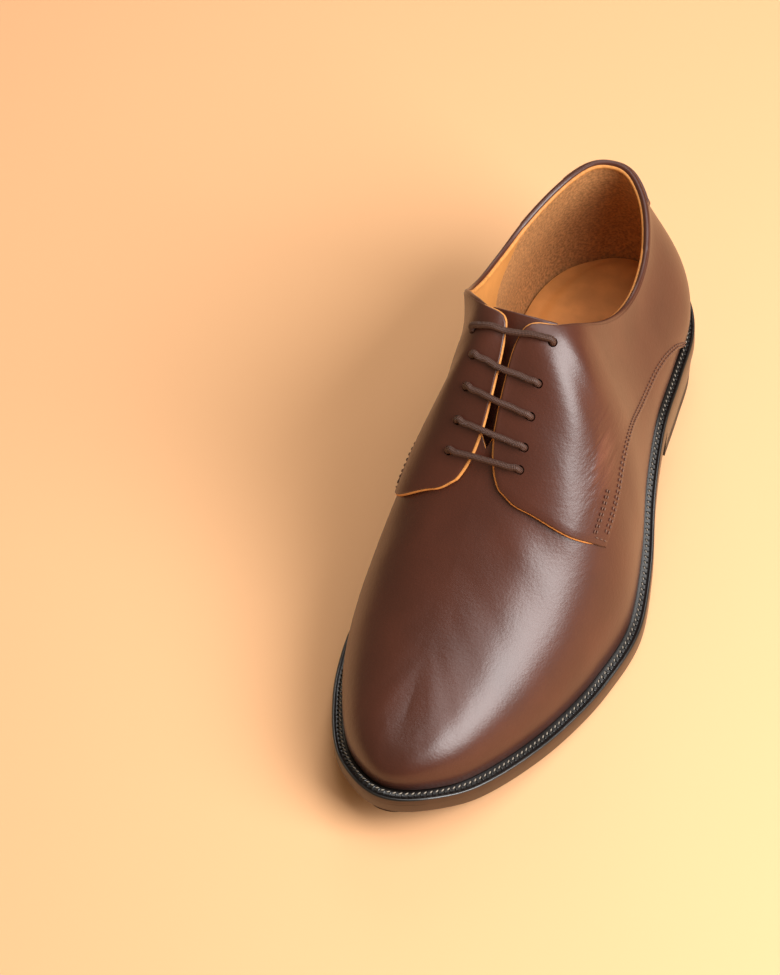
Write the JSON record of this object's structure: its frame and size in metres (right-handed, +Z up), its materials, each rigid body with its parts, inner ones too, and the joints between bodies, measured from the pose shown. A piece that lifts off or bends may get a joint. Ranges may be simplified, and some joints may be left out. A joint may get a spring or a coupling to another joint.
{
  "type": "derby shoe",
  "caption": "Left brown leather derby shoe with open lacing over a tongue, storm welt, leather sole and stacked block heel.",
  "frame": {"origin": "middle of the heel's tread on the floor, an eighth of the length ahead of the back of the heel", "axes": "-Y towards the toe, +X towards the outer (lateral) side, +Z up; the floor is z = 0"},
  "size_m": [0.107, 0.28, 0.1236],
  "materials": {
    "calf": "polished smooth dark reddish brown calf",
    "lace": "round waxed dark brown cord",
    "lining": "tan lining leather",
    "welt": "glossy black stitched welt",
    "sole": "dark brown burnished edge",
    "rubber": "near black rubber"
  },
  "bodies": {
    "root": {"upper": "calf", "tongue": "calf", "laces": "lace", "insole": "lining", "welt": "welt", "outsole": "sole", "heel_stack": "sole", "heel_top_piece": "rubber"}
  },
  "joints": []
}
